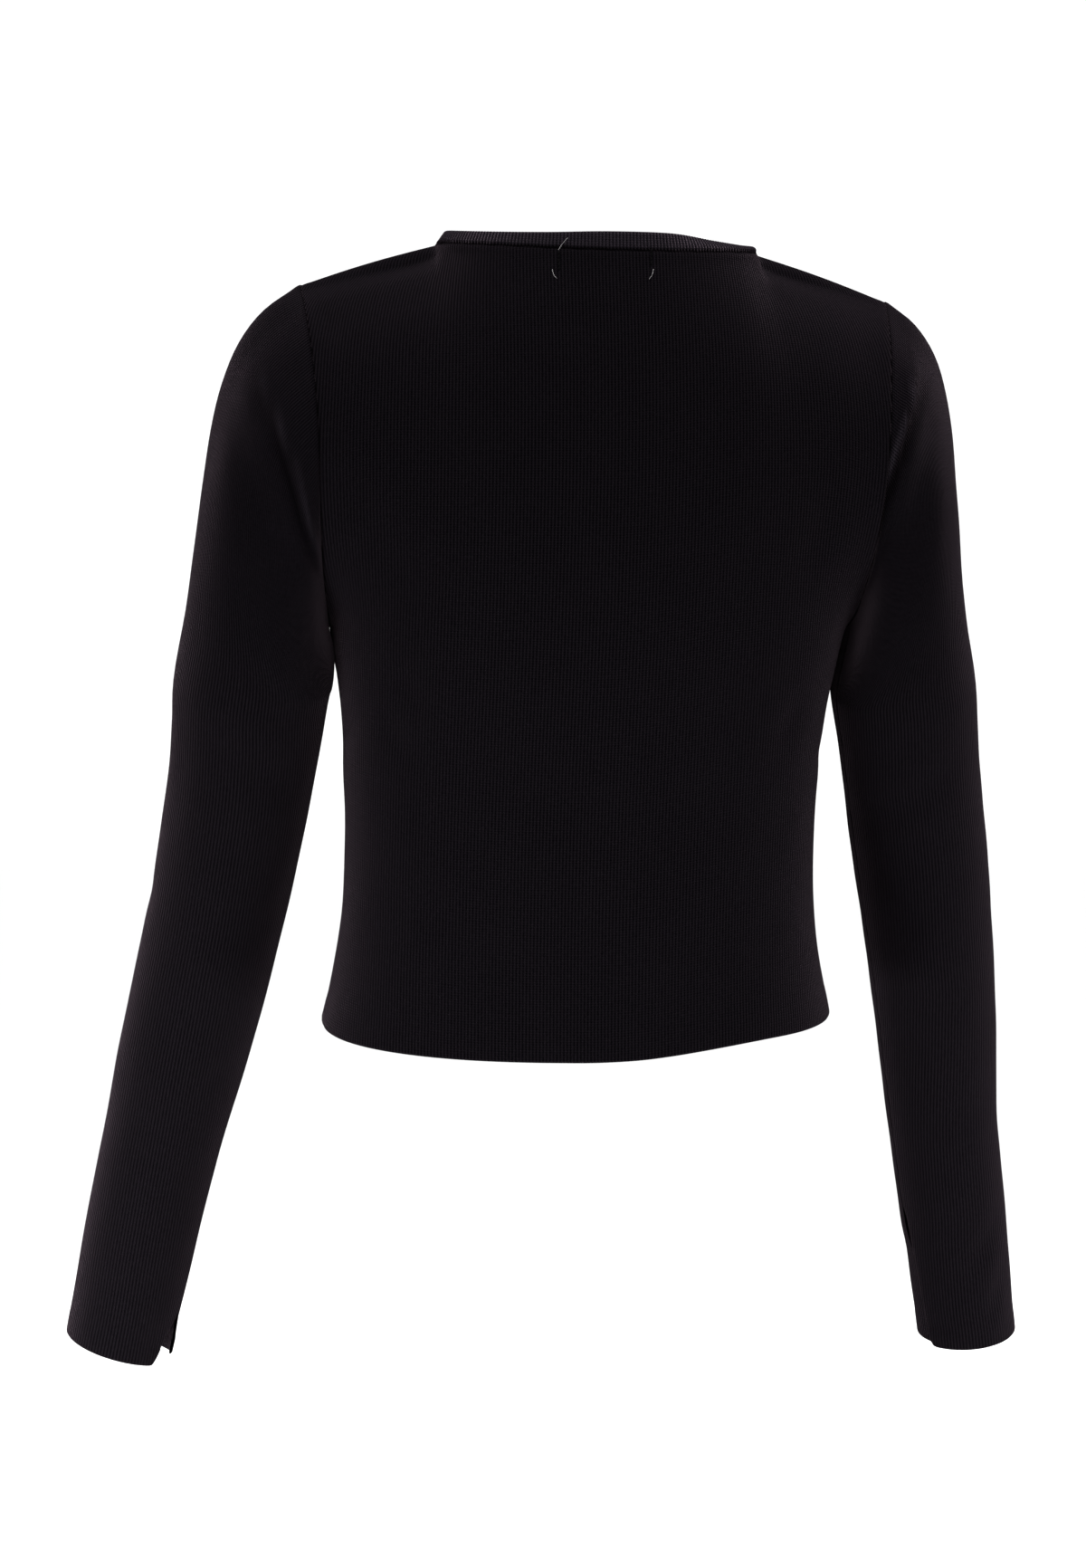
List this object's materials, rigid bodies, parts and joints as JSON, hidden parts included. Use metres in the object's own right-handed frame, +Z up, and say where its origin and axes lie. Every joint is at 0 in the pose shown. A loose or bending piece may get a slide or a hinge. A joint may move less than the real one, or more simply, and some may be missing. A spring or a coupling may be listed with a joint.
{
  "type": "cardigan",
  "caption": "Cropped long-sleeved rib-knit cardigan with a narrow round neckband and a buttoned front, filled out as when worn, with open neck, hem and cuffs.",
  "frame": {"origin": "Midway between the two neck points of the shoulder seams, where the wearer's shoulders and neck carry the garment", "axes": "+X to the wearer's left, +Y to the wearer's back, +Z up along the height of the garment"},
  "size_m": [0.5677, 0.264, 0.6499],
  "materials": {
    "knit": "matte fine rib knit with a soft grazing sheen",
    "button": "satin"
  },
  "bodies": {
    "root": {"back": "knit", "front_left": "knit", "front_right": "knit", "sleeve_left": "knit", "sleeve_right": "knit", "neckband": "knit", "button_band": "knit", "buttonhole_band": "knit", "button_1": "button", "button_2": "button", "button_3": "button", "button_4": "button", "button_5": "button", "button_6": "button", "button_7": "button"}
  },
  "joints": []
}
